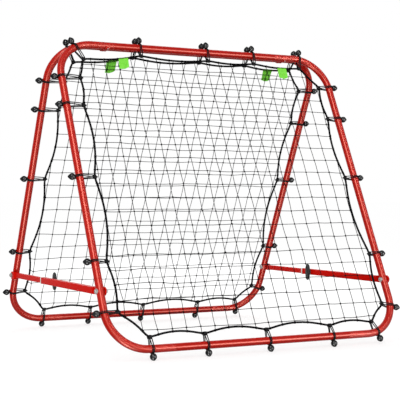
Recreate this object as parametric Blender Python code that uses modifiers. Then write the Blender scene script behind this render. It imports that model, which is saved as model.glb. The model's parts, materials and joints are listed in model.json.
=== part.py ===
"""Double-sided football rebounder: two netted steel frames that stand as a folding A.

Metres, +Z up. The origin is on the ground under the middle of the object. X runs along the top
tubes, the front frame leans towards -Y and the rear frame towards +Y.

Points of a frame are worked out in its own plane: u along X, v down the slope from the centre line
of its top tube, w out of the plane, away from the other frame.
"""

import math

import bmesh
import bpy
from mathutils import Matrix, Vector

# Driving dimensions of the two frames
FRAME_WIDTH = 0.938
FRAME_LENGTH = 0.955
SPLAY = math.radians(25.7)
TUBE_RADIUS = 0.011
CORNER_RADIUS = 0.112
CORNER_STEPS = 6
TOP_SPACING = 0.028
GAP = 0.0003
OVERCUT = 0.002

# The seams where the bent side tubes plug onto the straight middle tubes
SEAM_U = 0.283
SPIGOT_RADIUS = 0.0090
SPIGOT_LENGTH = 0.025

# Ball ties: where each one sits on its tube, and how far in it holds the border rope
TIES = {
    "top": ((-0.413, 0.044), (-0.200, 0.028), (0.032, 0.030), (0.199, 0.030), (0.376, 0.036)),
    "bottom": ((-0.351, 0.033), (-0.184, 0.033), (0.014, 0.033), (0.229, 0.033), (0.389, 0.033)),
    "left": ((0.118, 0.058), (0.211, 0.052), (0.443, 0.045), (0.700, 0.034), (0.848, 0.039)),
    "right": ((0.106, 0.039), (0.224, 0.038), (0.438, 0.035), (0.700, 0.025), (0.872, 0.029)),
}
TOP_TIE_STAGGER = 0.0025
TIE_CORD_RADIUS = 0.0018
LOOP_STEPS = {"tube": 5, "rope": 2}
BALL_RADIUS = 0.0098
BALL_SEGMENTS = 7
BALL_RINGS = 5
BALL_OFFSET = 0.022
BALL_TIP = 0.011

# Net, border rope and the fabric tabs sewn under the top rope
ROPE_RADIUS = 0.0029
ROPE_CLEARANCE = 0.0005
ROPE_STEPS = 3
ROPE_HOLD = 0.010
ROPE_BOW = {"top": 0.045, "bottom": 0.080, "left": 0.072, "right": 0.072}
STRING_THICKNESS = 0.0026
MESH_PITCH = 0.070
FIRST_STRING_U = -0.374
FIRST_STRING_V = 0.101
STRINGS_U = 12
STRINGS_V = 12
TAB_SIZE = (0.033, 0.038)
TAB_THICKNESS = 0.0016
TAB_U = {"front": (-0.261, 0.302), "rear": (-0.268, 0.291)}
TAB_TOP_V = 0.040

# Hinges: a narrow strap under each top tube, and a pin between the tubes
HINGE_U = {"left": -0.3055, "right": 0.321}
HINGE_WIDTH = 0.017
HINGE_DROP = 0.0052
SADDLE_THICKNESS = 0.002
SADDLE_INNER_ANGLE = math.radians(-68)
SADDLE_OUTER_ANGLE = math.radians(70)
SADDLE_STEPS = 8
KNUCKLE_RADIUS = 0.0035
KNUCKLE_SHARE = 0.45
KNUCKLE_CLEARANCE = 0.0009
PIN_RADIUS = 0.0017
PIN_HEAD_RADIUS = 0.0027
PIN_HEAD_HEIGHT = 0.0012
SCREW_ANGLE = math.radians(45)
SCREW_HEAD_RADIUS = 0.0038
SCREW_TOP_RADIUS = 0.0030
SCREW_HEAD_HEIGHT = 0.0026
SINK = 0.0004

# Telescoping side braces
BRACE_V = 0.786
OUTER_BAR = 0.019
INNER_BAR = 0.016
BAR_WALL = 0.0012
BAR_CHAMFER = 0.0016
MOUTH_Y = 0.090
COLLAR_LENGTH = 0.005
COLLAR_STEP = 0.0008
INNER_BAR_END_Y = -0.080
TONGUE_THICKNESS = 0.003
TONGUE_HEIGHT = 0.024
TONGUE_REACH = 0.011
TONGUE_CHAMFER = 0.0006
# Rounding of the tongue beyond its bolt: share of its reach, share of its height
TONGUE_END = ((0.3, 1.0), (0.8, 0.72), (1.0, 0.36))
CRANK_START = 0.036
CRANK_END = 0.020
BORE_END = 0.044
BOLT_RADIUS = 0.003
BOLT_HEAD_RADIUS = 0.0065
BOLT_HEAD_HEIGHT = 0.005
BOLT_HEAD_SINK = 0.0022
LOOSE_HOLE_RADIUS = 0.0053
KNOB_Y = 0.040
KNOB_LENGTH = 0.054
KNOB_WIDTH = 0.013
KNOB_THICKNESS = 0.008
KNOB_HUB_RADIUS = 0.0075
KNOB_STANDOFF = 0.002
KNOB_HUB_RECESS = 0.001
KNOB_FULLNESS = 0.8

# Heights that follow from the driving dimensions: the balls under the bottom tubes touch the ground
BOTTOM_Z = (BALL_OFFSET + BALL_TIP) * math.cos(SPLAY)
TOP_Z = BOTTOM_Z + FRAME_LENGTH * math.cos(SPLAY)
PIN_Z = TOP_Z - HINGE_DROP
PIVOT_Y = TOP_SPACING / 2 + BRACE_V * math.sin(SPLAY)
PIVOT_Z = TOP_Z - BRACE_V * math.cos(SPLAY)

SIDES = {"front": -1, "rear": 1}
HANDS = {"left": -1, "right": 1}
ALONG_X = Matrix.Rotation(math.pi / 2, 4, "Y")


def clear_scene():
    for old in list(bpy.data.objects):
        bpy.data.objects.remove(old)


def new_collection(name):
    collection = bpy.data.collections.new(name)
    bpy.context.scene.collection.children.link(collection)
    return collection


def painted(name, color, roughness, metallic=0.0):
    material = bpy.data.materials.new(name)
    material.use_nodes = True
    shader = material.node_tree.nodes["Principled BSDF"]
    shader.inputs["Base Color"].default_value = (*color, 1.0)
    shader.inputs["Roughness"].default_value = roughness
    shader.inputs["Metallic"].default_value = metallic
    return material


# Places on a frame

def place(side, u, v, w=0.0):
    """World point of a frame's own coordinates."""
    sign = SIDES[side]
    y = sign * (TOP_SPACING / 2 + v * math.sin(SPLAY) + w * math.cos(SPLAY))
    z = TOP_Z - v * math.cos(SPLAY) + w * math.sin(SPLAY)
    return Vector((u, y, z))


def tube_station(edge, along):
    """Centre of the tube at a distance along an edge, and the direction into the frame there."""
    straight_u = FRAME_WIDTH / 2 - CORNER_RADIUS
    straight_v = FRAME_LENGTH / 2 - CORNER_RADIUS
    if edge in ("top", "bottom"):
        sign = -1 if edge == "top" else 1
        turn = math.asin(max(0.0, abs(along) - straight_u) / CORNER_RADIUS)
        hand = math.copysign(1.0, along)
        normal = (-hand * math.sin(turn), -sign * math.cos(turn))
        centre = (hand * min(abs(along), straight_u), sign * straight_v)
    else:
        hand = HANDS[edge]
        offset = along - FRAME_LENGTH / 2
        turn = math.asin(max(0.0, abs(offset) - straight_v) / CORNER_RADIUS)
        sign = math.copysign(1.0, offset)
        normal = (-hand * math.cos(turn), -sign * math.sin(turn))
        centre = (hand * straight_u, sign * min(abs(offset), straight_v))
    u = centre[0] - normal[0] * CORNER_RADIUS
    v = centre[1] - normal[1] * CORNER_RADIUS + FRAME_LENGTH / 2
    return (u, v), normal


def tie_stations(side):
    """Name, tube centre, inward direction and reach of every tie on a frame."""
    found = []
    for edge, rows in TIES.items():
        for number, (along, reach) in enumerate(rows, start=1):
            if edge == "top":
                along = along - SIDES[side] * TOP_TIE_STAGGER
            centre, normal = tube_station(edge, along)
            found.append((edge, number, centre, normal, reach))
    return found


# Making meshes

def evaluated_mesh(obj):
    bpy.context.view_layer.update()
    depsgraph = bpy.context.evaluated_depsgraph_get()
    return bpy.data.meshes.new_from_object(obj.evaluated_get(depsgraph), depsgraph=depsgraph)


def object_from_mesh(name, mesh, collection):
    obj = bpy.data.objects.new(name, mesh)
    collection.objects.link(obj)
    return obj


def object_from_bmesh(name, bm, collection):
    mesh = bpy.data.meshes.new(name)
    bmesh.ops.recalc_face_normals(bm, faces=bm.faces)
    if bm.calc_volume(signed=True) < 0:
        bmesh.ops.reverse_faces(bm, faces=bm.faces)
    bm.to_mesh(mesh)
    bm.free()
    return object_from_mesh(name, mesh, collection)


def applied(obj, collection):
    """Replace a curve or a modified object by the welded mesh that it evaluates to."""
    name = obj.name
    mesh = evaluated_mesh(obj)
    matrix = obj.matrix_world.copy()
    bm = bmesh.new()
    bm.from_mesh(mesh)
    bpy.data.meshes.remove(mesh)
    bm.transform(matrix)
    bmesh.ops.remove_doubles(bm, verts=bm.verts, dist=0.000001)
    bpy.data.objects.remove(obj)
    return object_from_bmesh(name, bm, collection)


def boolean(obj, other, operation, collection):
    """Apply one exact Boolean and remove the piece that it used."""
    modifier = obj.modifiers.new(operation.lower(), "BOOLEAN")
    modifier.operation = operation
    modifier.solver = "EXACT"
    modifier.object = other
    result = applied(obj, collection)
    bpy.data.objects.remove(other)
    return result


def fused(pieces, collection):
    body = pieces[0]
    for piece in pieces[1:]:
        body = boolean(body, piece, "UNION", collection)
    return body


def tube(name, points, radius, resolution, collection, closed=False):
    curve = bpy.data.curves.new(name, "CURVE")
    curve.dimensions = "3D"
    curve.bevel_depth = radius
    curve.bevel_resolution = resolution
    curve.use_fill_caps = not closed
    spline = curve.splines.new("POLY")
    spline.points.add(len(points) - 1)
    for point, position in zip(spline.points, points):
        point.co = (*position, 1.0)
    spline.use_cyclic_u = closed
    obj = bpy.data.objects.new(name, curve)
    collection.objects.link(obj)
    return applied(obj, collection)


def cylinder_x(name, radius, x_from, x_to, y, z, segments, collection):
    """A cylinder along X between two places."""
    bm = bmesh.new()
    bmesh.ops.create_cone(
        bm, cap_ends=True, segments=segments, radius1=radius, radius2=radius, depth=abs(x_to - x_from))
    bm.transform(Matrix.Translation(((x_from + x_to) / 2, y, z)) @ ALONG_X)
    return object_from_bmesh(name, bm, collection)


def box(name, low, high, collection):
    bm = bmesh.new()
    size = [b - a for a, b in zip(low, high)]
    middle = [(a + b) / 2 for a, b in zip(low, high)]
    bmesh.ops.create_cube(bm, size=1.0, matrix=Matrix.Translation(middle) @ Matrix.Diagonal((*size, 1.0)))
    return object_from_bmesh(name, bm, collection)


def extruded_outline(name, outline, x_from, x_to, collection):
    """A flat outline in the YZ plane, filled and extruded along X."""
    curve = bpy.data.curves.new(name, "CURVE")
    curve.dimensions = "2D"
    curve.fill_mode = "BOTH"
    curve.extrude = abs(x_to - x_from) / 2
    spline = curve.splines.new("POLY")
    spline.points.add(len(outline) - 1)
    for point, (y, z) in zip(spline.points, outline):
        point.co = (y, z, 0.0, 1.0)
    spline.use_cyclic_u = True
    obj = bpy.data.objects.new(name, curve)
    collection.objects.link(obj)
    obj.matrix_world = Matrix((
        (0, 0, 1, (x_from + x_to) / 2), (1, 0, 0, 0), (0, 1, 0, 0), (0, 0, 0, 1)))
    return applied(obj, collection)


# Frame tubes

def side_tube_path(side, hand):
    """Centre line of a bent side tube, from its top seam to its bottom seam."""
    sign = HANDS[hand]
    corner_u = FRAME_WIDTH / 2 - CORNER_RADIUS
    points = [place(side, sign * SEAM_U + sign * GAP / 2, 0.0)]
    for corner_v, first in ((CORNER_RADIUS, 0), (FRAME_LENGTH - CORNER_RADIUS, 90)):
        for step in range(CORNER_STEPS + 1):
            angle = math.radians(first + 90 * step / CORNER_STEPS)
            u = sign * (corner_u + CORNER_RADIUS * math.sin(angle))
            v = corner_v - CORNER_RADIUS * math.cos(angle)
            points.append(place(side, u, v))
    points.append(place(side, sign * SEAM_U + sign * GAP / 2, FRAME_LENGTH))
    return points


def brace_bolt(side, hand, tongue_side, parts):
    """The bolt through a side tube that its brace turns on, with a round head and a hex nut."""
    x = HANDS[hand] * FRAME_WIDTH / 2
    y = SIDES[side] * PIVOT_Y
    nut_from = x + tongue_side * (TUBE_RADIUS + TONGUE_THICKNESS + 2 * GAP)
    nut_to = nut_from + tongue_side * BOLT_HEAD_HEIGHT
    head_from = x - tongue_side * (TUBE_RADIUS - BOLT_HEAD_SINK)
    head_to = x - tongue_side * (TUBE_RADIUS + BOLT_HEAD_HEIGHT)
    shank = cylinder_x("shank", BOLT_RADIUS, x, (nut_from + nut_to) / 2, y, PIVOT_Z, 10, parts)
    head = cylinder_x("head", BOLT_HEAD_RADIUS, head_from, head_to, y, PIVOT_Z, 12, parts)
    nut = cylinder_x("nut", BOLT_HEAD_RADIUS, nut_from, nut_to, y, PIVOT_Z, 6, parts)
    return [shank, head, nut]


def side_tube(side, hand, tongue_side, parts):
    name = f"{side}_{hand}_side_tube"
    body = tube(name, side_tube_path(side, hand), TUBE_RADIUS, 4, parts)
    body = fused([body] + brace_bolt(side, hand, tongue_side, parts), parts)
    sign = HANDS[hand]
    for v in (0.0, FRAME_LENGTH):
        middle = place(side, 0.0, v)
        socket = cylinder_x(
            "socket", SPIGOT_RADIUS + GAP, sign * (SEAM_U - OVERCUT), sign * (SEAM_U + SPIGOT_LENGTH + GAP),
            middle.y, middle.z, 12, parts)
        body = boolean(body, socket, "DIFFERENCE", parts)
    return body


def middle_tube(side, level, parts):
    """A straight tube with a spigot at each end, turned from its profile."""
    v = 0.0 if level == "top" else FRAME_LENGTH
    shoulder = SEAM_U - GAP / 2
    tip = SEAM_U + SPIGOT_LENGTH
    profile = ((0.0, tip), (SPIGOT_RADIUS, tip), (SPIGOT_RADIUS, shoulder), (TUBE_RADIUS, shoulder),
               (TUBE_RADIUS, -shoulder), (SPIGOT_RADIUS, -shoulder), (SPIGOT_RADIUS, -tip), (0.0, -tip))
    bm = bmesh.new()
    verts = [bm.verts.new((radius, 0.0, height)) for radius, height in profile]
    for first, second in zip(verts, verts[1:]):
        bm.edges.new((first, second))
    mesh = bpy.data.meshes.new("profile")
    bm.to_mesh(mesh)
    bm.free()
    obj = object_from_mesh(f"{side}_{level}_tube", mesh, parts)
    screw = obj.modifiers.new("turned", "SCREW")
    screw.steps = 12
    screw.render_steps = 12
    screw.use_merge_vertices = True
    screw.merge_threshold = 0.00001
    obj.matrix_world = Matrix.Translation(place(side, 0.0, v)) @ ALONG_X
    return applied(obj, parts)


# Hinges

def saddle_outline(side):
    """The strip that hugs the lower half of a top tube, seen from the end."""
    sign = SIDES[side]
    centre_y = sign * TOP_SPACING / 2
    inner = TUBE_RADIUS + GAP
    outer = inner + SADDLE_THICKNESS
    step = (SADDLE_OUTER_ANGLE - SADDLE_INNER_ANGLE) / SADDLE_STEPS
    angles = [SADDLE_INNER_ANGLE + i * step for i in range(SADDLE_STEPS + 1)]
    facet = math.cos(step / 2)
    points = []
    for radius, row in ((inner / facet, angles), (outer / facet, angles[::-1])):
        for angle in row:
            points.append((centre_y + sign * radius * math.sin(angle), TOP_Z - radius * math.cos(angle)))
    return points


def hinge_screw(side, x, parts):
    """Pan head on the outer face of the saddle."""
    sign = SIDES[side]
    direction = Vector((0.0, sign * math.sin(SCREW_ANGLE), -math.cos(SCREW_ANGLE)))
    stand = TUBE_RADIUS + SADDLE_THICKNESS + SCREW_HEAD_HEIGHT / 2 - SINK
    centre = Vector((x, sign * TOP_SPACING / 2, TOP_Z)) + direction * stand
    bm = bmesh.new()
    bmesh.ops.create_cone(
        bm, cap_ends=True, segments=8, radius1=SCREW_HEAD_RADIUS, radius2=SCREW_TOP_RADIUS,
        depth=SCREW_HEAD_HEIGHT)
    bm.transform(Matrix.Translation(centre) @ direction.to_track_quat("Z", "X").to_matrix().to_4x4())
    return object_from_bmesh("screw", bm, parts)


def hinge_leaf(side, hand, parts):
    """One half of a hinge. The front leaf carries the pin and the two outer knuckles."""
    x = HINGE_U[hand]
    half = HINGE_WIDTH / 2
    shared = half * KNUCKLE_SHARE
    saddle = extruded_outline(f"{side}_{hand}_hinge_leaf", saddle_outline(side), x - half, x + half, parts)
    barrel = cylinder_x("barrel", KNUCKLE_RADIUS, x - half, x + half, 0.0, PIN_Z, 14, parts)
    leaf = fused([saddle, barrel, hinge_screw(side, x, parts)], parts)
    if side == "front":
        spans = ((x - shared - GAP, x + shared + GAP),)
    else:
        spans = ((x - half - OVERCUT, x - shared), (x + shared, x + half + OVERCUT))
    clear = KNUCKLE_RADIUS + KNUCKLE_CLEARANCE
    for low_x, high_x in spans:
        cutter = box("cut", (low_x, -clear, PIN_Z - clear), (high_x, clear, TOP_Z), parts)
        leaf = boolean(leaf, cutter, "DIFFERENCE", parts)
    if side == "front":
        pin = cylinder_x("pin", PIN_RADIUS, x - half - SINK, x + half + SINK, 0.0, PIN_Z, 10, parts)
        pieces = [leaf, pin]
        for end in (-1, 1):
            start = x + end * (half - SINK)
            stop = start + end * PIN_HEAD_HEIGHT
            pieces.append(cylinder_x("pin_head", PIN_HEAD_RADIUS, start, stop, 0.0, PIN_Z, 10, parts))
        return fused(pieces, parts)
    bore = cylinder_x("bore", PIN_RADIUS + GAP, x - half, x + half, 0.0, PIN_Z, 10, parts)
    return boolean(leaf, bore, "DIFFERENCE", parts)


# Side braces

def bar_section(y, centre_x, half_x, half_z, chamfer):
    """Corner-cut rectangle across a bar, in world coordinates."""
    points = []
    for sx, sz, first in ((1, -1, "z"), (1, 1, "x"), (-1, 1, "z"), (-1, -1, "x")):
        near_z = (centre_x + sx * half_x, y, PIVOT_Z + sz * (half_z - chamfer))
        near_x = (centre_x + sx * (half_x - chamfer), y, PIVOT_Z + sz * half_z)
        points += [near_x, near_z] if first == "z" else [near_z, near_x]
    return points


def lofted(name, sections, parts):
    """Skin a row of matching sections and close both ends."""
    bm = bmesh.new()
    rings = [[bm.verts.new(point) for point in section] for section in sections]
    for ring, following in zip(rings, rings[1:]):
        for i in range(len(ring)):
            j = (i + 1) % len(ring)
            bm.faces.new((ring[i], ring[j], following[j], following[i]))
    bm.faces.new(rings[0])
    bm.faces.new(rings[-1])
    return object_from_bmesh(name, bm, parts)


def cranked_bar(name, side, hand, tongue_side, size, open_y, collar, parts):
    """A square tube, open at one end and flattened and cranked past its frame tube at the other."""
    sign = SIDES[side]
    x = HANDS[hand] * FRAME_WIDTH / 2
    pivot_y = sign * PIVOT_Y
    tongue_x = x + tongue_side * (TUBE_RADIUS + GAP + TONGUE_THICKNESS / 2)
    half = size / 2
    sections = []
    if collar:
        step_y = open_y + sign * COLLAR_LENGTH
        wide = half + COLLAR_STEP
        sections.append(bar_section(open_y, x, wide, wide, BAR_CHAMFER))
        sections.append(bar_section(step_y, x, wide, wide, BAR_CHAMFER))
        sections.append(bar_section(step_y, x, half, half, BAR_CHAMFER))
    else:
        sections.append(bar_section(open_y, x, half, half, BAR_CHAMFER))
    sections.append(bar_section(pivot_y - sign * CRANK_START, x, half, half, BAR_CHAMFER))
    thin = TONGUE_THICKNESS / 2
    tongue_rows = [(CRANK_END, 1.0)] + [(-reach * TONGUE_REACH, share) for reach, share in TONGUE_END]
    for away, share in tongue_rows:
        y = pivot_y - sign * away
        sections.append(bar_section(y, tongue_x, thin, share * TONGUE_HEIGHT / 2, TONGUE_CHAMFER))
    return lofted(name, sections, parts)


def bolt_hole(bar, side, hand, radius, parts):
    x = HANDS[hand] * FRAME_WIDTH / 2
    reach = TUBE_RADIUS + TONGUE_THICKNESS + OVERCUT
    hole = cylinder_x("hole", radius, x - reach, x + reach, SIDES[side] * PIVOT_Y, PIVOT_Z, 16, parts)
    return boolean(bar, hole, "DIFFERENCE", parts)


def hollowed(bar, hand, bore, y_from, y_to, parts):
    x = HANDS[hand] * FRAME_WIDTH / 2
    low = (x - bore / 2, min(y_from, y_to), PIVOT_Z - bore / 2)
    high = (x + bore / 2, max(y_from, y_to), PIVOT_Z + bore / 2)
    return boolean(bar, box("bore", low, high, parts), "DIFFERENCE", parts)


def outer_bar(hand, tongue_side, parts):
    bar = cranked_bar(
        f"{hand}_brace_outer_bar", "front", hand, tongue_side, OUTER_BAR, MOUTH_Y, True, parts)
    bar = bolt_hole(bar, "front", hand, BOLT_RADIUS + GAP, parts)
    bore = OUTER_BAR - 2 * BAR_WALL
    bar = hollowed(bar, hand, bore, MOUTH_Y + OVERCUT, BORE_END - PIVOT_Y, parts)
    inward = -HANDS[hand]
    x = HANDS[hand] * FRAME_WIDTH / 2
    start = x + inward * INNER_BAR / 2
    stop = x + inward * OUTER_BAR
    thread = cylinder_x("thread", BOLT_RADIUS + GAP, start, stop, KNOB_Y, PIVOT_Z, 12, parts)
    return boolean(bar, thread, "DIFFERENCE", parts)


def inner_bar(hand, tongue_side, parts):
    bar = cranked_bar(
        f"{hand}_brace_inner_bar", "rear", hand, tongue_side, INNER_BAR, INNER_BAR_END_Y, False, parts)
    bar = bolt_hole(bar, "rear", hand, LOOSE_HOLE_RADIUS, parts)
    bore = INNER_BAR - 2 * BAR_WALL
    return hollowed(bar, hand, bore, INNER_BAR_END_Y - OVERCUT, PIVOT_Y - BORE_END, parts)


def knob(hand, parts):
    """Winged clamping knob on the inner face of the outer bar, with its threaded stem."""
    inward = -HANDS[hand]
    x = HANDS[hand] * FRAME_WIDTH / 2
    face = x + inward * (OUTER_BAR / 2 + GAP)
    wing_from = face + inward * KNOB_STANDOFF
    wing_to = wing_from + inward * KNOB_THICKNESS
    steps = 16
    outline = []
    for i in range(steps):
        angle = 2 * math.pi * i / steps
        across = math.copysign(abs(math.cos(angle)) ** KNOB_FULLNESS, math.cos(angle))
        outline.append((KNOB_Y + across * KNOB_WIDTH / 2, PIVOT_Z + math.sin(angle) * KNOB_LENGTH / 2))
    wing = extruded_outline(f"{hand}_brace_knob", outline, wing_from, wing_to, parts)
    hub_to = wing_to - inward * KNOB_HUB_RECESS
    hub = cylinder_x("hub", KNOB_HUB_RADIUS, face, hub_to, KNOB_Y, PIVOT_Z, 12, parts)
    tip = x + inward * (INNER_BAR / 2 + GAP)
    stem = cylinder_x("stem", BOLT_RADIUS, tip, face + inward * SINK, KNOB_Y, PIVOT_Z, 10, parts)
    return fused([wing, hub, stem], parts)


# Ties, rope and net

def tie_loop_path(reach):
    """Belt round the tube and the rope: distances into the frame and out of its plane."""
    tube_radius = TUBE_RADIUS + GAP + TIE_CORD_RADIUS
    rope_radius = ROPE_RADIUS + ROPE_CLEARANCE + TIE_CORD_RADIUS
    lean = math.acos((tube_radius - rope_radius) / reach)
    tube_turn = 2 * (math.pi - lean) / LOOP_STEPS["tube"]
    rope_turn = 2 * lean / LOOP_STEPS["rope"]
    tube_radius /= math.cos(tube_turn / 2)
    rope_radius /= math.cos(rope_turn / 2)
    points = []
    for step in range(LOOP_STEPS["tube"] + 1):
        angle = lean + step * tube_turn
        points.append((tube_radius * math.cos(angle), tube_radius * math.sin(angle)))
    for step in range(LOOP_STEPS["rope"] + 1):
        angle = -lean + step * rope_turn
        points.append((reach + rope_radius * math.cos(angle), rope_radius * math.sin(angle)))
    return points


def ball(side, edge, centre, normal, parts):
    """The ball at the outer end of a tie, drawn to a short tip where the cord is knotted.

    The top ones stand straight up, clear of the other frame's. The others lie in their frame's plane.
    """
    bm = bmesh.new()
    bmesh.ops.create_uvsphere(bm, u_segments=BALL_SEGMENTS, v_segments=BALL_RINGS, radius=BALL_RADIUS)
    tip = max(bm.verts, key=lambda vert: vert.co.z)
    tip.co.z = BALL_TIP
    turn = SPLAY if edge == "top" else 0.0
    back = BALL_OFFSET * math.cos(turn)
    lift = BALL_OFFSET * math.sin(turn)
    middle = place(side, centre[0] - normal[0] * back, centre[1] - normal[1] * back, lift)
    outward = middle - place(side, *centre)
    bm.transform(Matrix.Translation(middle) @ outward.to_track_quat("Z", "X").to_matrix().to_4x4())
    return object_from_bmesh("ball", bm, parts)


def tie(side, edge, number, centre, normal, reach, parts):
    path = []
    for inward, out in tie_loop_path(reach):
        path.append(place(side, centre[0] + normal[0] * inward, centre[1] + normal[1] * inward, out))
    loop = tube(f"{side}_{edge}_tie_{number}", path, TIE_CORD_RADIUS, 0, parts, closed=True)
    seat = tube_station(edge, TIES[edge][number - 1][0])
    return fused([loop, ball(side, edge, *seat, parts)], parts)


def rope_hold(station):
    """Where a tie holds the rope, and a short step along the rope there, parallel to the tube."""
    edge, number, centre, normal, reach = station
    held = Vector((centre[0] + normal[0] * reach, centre[1] + normal[1] * reach))
    return held, Vector((normal[1], -normal[0])) * ROPE_HOLD / 2


def rope_path(side):
    """The border rope in the frame's plane: through every tie, bowed towards the net between them."""
    order = {"top": 1, "right": 1, "bottom": -1, "left": -1}
    stations = tie_stations(side)
    ring = []
    for edge, direction in order.items():
        row = [station for station in stations if station[0] == edge]
        ring += row[::direction]
    points = []
    for here, there in zip(ring, ring[1:] + ring[:1]):
        held, step_out = rope_hold(here)
        next_held, step_in = rope_hold(there)
        start = held + step_out
        span = next_held - step_in - start
        inward = Vector((-span.y, span.x)).normalized()
        bow = span.length * min(ROPE_BOW[here[0]], ROPE_BOW[there[0]])
        points.append(held - step_out)
        for step in range(ROPE_STEPS):
            t = step / ROPE_STEPS
            points.append(start + span * t + inward * bow * 4 * t * (1 - t))
    return points


def string_lattice(side, outline, parts):
    """Knotted strings: the area inside the rope, cut into meshes and turned into struts."""
    bm = bmesh.new()
    bm.faces.new([bm.verts.new((u, v, 0.0)) for u, v in outline])
    cuts = [((FIRST_STRING_U + i * MESH_PITCH, 0, 0), (1, 0, 0)) for i in range(STRINGS_U)]
    cuts += [((0, FIRST_STRING_V + i * MESH_PITCH, 0), (0, 1, 0)) for i in range(STRINGS_V)]
    for point, direction in cuts:
        geometry = bm.verts[:] + bm.edges[:] + bm.faces[:]
        bmesh.ops.bisect_plane(bm, geom=geometry, dist=0.00001, plane_co=point, plane_no=direction)
    for vert in bm.verts:
        vert.co = place(side, vert.co.x, vert.co.y)
    obj = object_from_bmesh(f"{side}_net", bm, parts)
    wire = obj.modifiers.new("strings", "WIREFRAME")
    wire.thickness = STRING_THICKNESS
    wire.use_boundary = True
    wire.use_even_offset = True
    wire.use_replace = True
    return applied(obj, parts)


def fabric_tab(side, u, parts):
    """A flat tab sewn under the top rope, lying in the net's plane."""
    bm = bmesh.new()
    width, height = TAB_SIZE
    bmesh.ops.create_cube(bm, size=1.0)
    for vert in bm.verts:
        across, down, out = vert.co
        vert.co = place(side, u + across * width, TAB_TOP_V + (down + 0.5) * height, out * TAB_THICKNESS)
    return object_from_bmesh("tab", bm, parts)


def net(side, parts):
    outline = rope_path(side)
    strings = string_lattice(side, outline, parts)
    rope = tube("rope", [place(side, u, v) for u, v in outline], ROPE_RADIUS, 1, parts, closed=True)
    tabs = [fabric_tab(side, u, parts) for u in TAB_U[side]]
    return fused([strings, rope] + tabs, parts)


# Assembly

def shade(obj, material, angle_deg):
    obj.data.materials.clear()
    obj.data.materials.append(material)
    obj.data.shade_smooth()
    obj.data.set_sharp_from_angle(angle=math.radians(angle_deg))


def joint_empty(name, position, parent, parts):
    empty = bpy.data.objects.new(name, None)
    empty.empty_display_size = 0.05
    parts.objects.link(empty)
    empty.location = position
    bpy.context.view_layer.update()
    if parent:
        attach(empty, parent)
    return empty


def attach(obj, parent):
    obj.parent = parent
    obj.matrix_parent_inverse = parent.matrix_world.inverted()
    bpy.context.view_layer.update()


def main():
    clear_scene()
    parts = new_collection("football_rebounder")
    red = painted("red_powder_coat", (0.60, 0.035, 0.020), 0.28)
    black_net = painted("black_net", (0.012, 0.012, 0.013), 0.75)
    black_ball = painted("black_ball_tie", (0.015, 0.016, 0.018), 0.45)
    grey_knob = painted("grey_knob", (0.06, 0.065, 0.07), 0.5)

    front = joint_empty("front_frame_axis", (0, 0, 0), None, parts)
    rear = joint_empty("fold_axis", (0, 0, PIN_Z), front, parts)
    frames = {"front": front, "rear": rear}
    # Which side of its tube each brace end passes, +1 towards +X: the left outer bar passes inside
    tongue_sides = {("front", "left"): 1, ("rear", "left"): -1, ("front", "right"): 1, ("rear", "right"): 1}

    for side, frame in frames.items():
        pieces = []
        for hand in HANDS:
            pieces.append((side_tube(side, hand, tongue_sides[side, hand], parts), red, 35))
            pieces.append((hinge_leaf(side, hand, parts), red, 30))
        for level in ("top", "bottom"):
            pieces.append((middle_tube(side, level, parts), red, 35))
        pieces.append((net(side, parts), black_net, 50))
        for station in tie_stations(side):
            pieces.append((tie(side, *station, parts), black_ball, 60))
        for obj, material, angle in pieces:
            shade(obj, material, angle)
            attach(obj, frame)

    for hand in HANDS:
        x = HANDS[hand] * FRAME_WIDTH / 2
        pivot = joint_empty(f"{hand}_brace_pivot_axis", (x, -PIVOT_Y, PIVOT_Z), front, parts)
        slide = joint_empty(f"{hand}_brace_slide_axis", (x, MOUTH_Y, PIVOT_Z), pivot, parts)
        turn = joint_empty(f"{hand}_knob_axis", (x, KNOB_Y, PIVOT_Z), pivot, parts)
        for obj, material, parent in (
                (outer_bar(hand, tongue_sides["front", hand], parts), red, pivot),
                (inner_bar(hand, tongue_sides["rear", hand], parts), red, slide),
                (knob(hand, parts), grey_knob, turn)):
            shade(obj, material, 30)
            attach(obj, parent)


main()
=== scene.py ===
"""Looks of the football rebounder: its finishes, cords, nets, fasteners and fabric tabs.

Metres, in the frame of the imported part: the origin is on the ground under the middle, X runs along
the top tubes, and the front frame stands towards -Y and the rear frame towards +Y.
"""

import json
import random
from math import acos, asin, ceil, copysign, cos, exp, hypot, pi, radians, sin, sqrt

import bmesh
import bpy
from mathutils import Matrix, Vector, noise

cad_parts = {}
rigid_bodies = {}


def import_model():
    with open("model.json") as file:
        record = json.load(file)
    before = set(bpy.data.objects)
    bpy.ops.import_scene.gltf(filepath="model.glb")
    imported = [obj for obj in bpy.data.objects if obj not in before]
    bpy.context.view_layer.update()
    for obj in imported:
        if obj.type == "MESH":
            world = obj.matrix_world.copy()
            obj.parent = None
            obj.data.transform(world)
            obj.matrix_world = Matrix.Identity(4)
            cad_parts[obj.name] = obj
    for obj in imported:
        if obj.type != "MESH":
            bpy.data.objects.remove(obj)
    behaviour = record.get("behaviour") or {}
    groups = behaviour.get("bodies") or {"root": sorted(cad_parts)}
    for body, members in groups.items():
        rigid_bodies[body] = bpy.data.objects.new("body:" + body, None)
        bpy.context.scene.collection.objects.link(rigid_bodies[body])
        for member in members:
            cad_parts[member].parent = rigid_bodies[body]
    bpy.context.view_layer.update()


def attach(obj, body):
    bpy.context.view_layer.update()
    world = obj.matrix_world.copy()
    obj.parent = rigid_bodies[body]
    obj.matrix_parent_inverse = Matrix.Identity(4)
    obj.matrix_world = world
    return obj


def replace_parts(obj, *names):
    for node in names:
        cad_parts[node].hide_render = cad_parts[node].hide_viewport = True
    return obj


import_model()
noise.seed_set(5)

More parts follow.
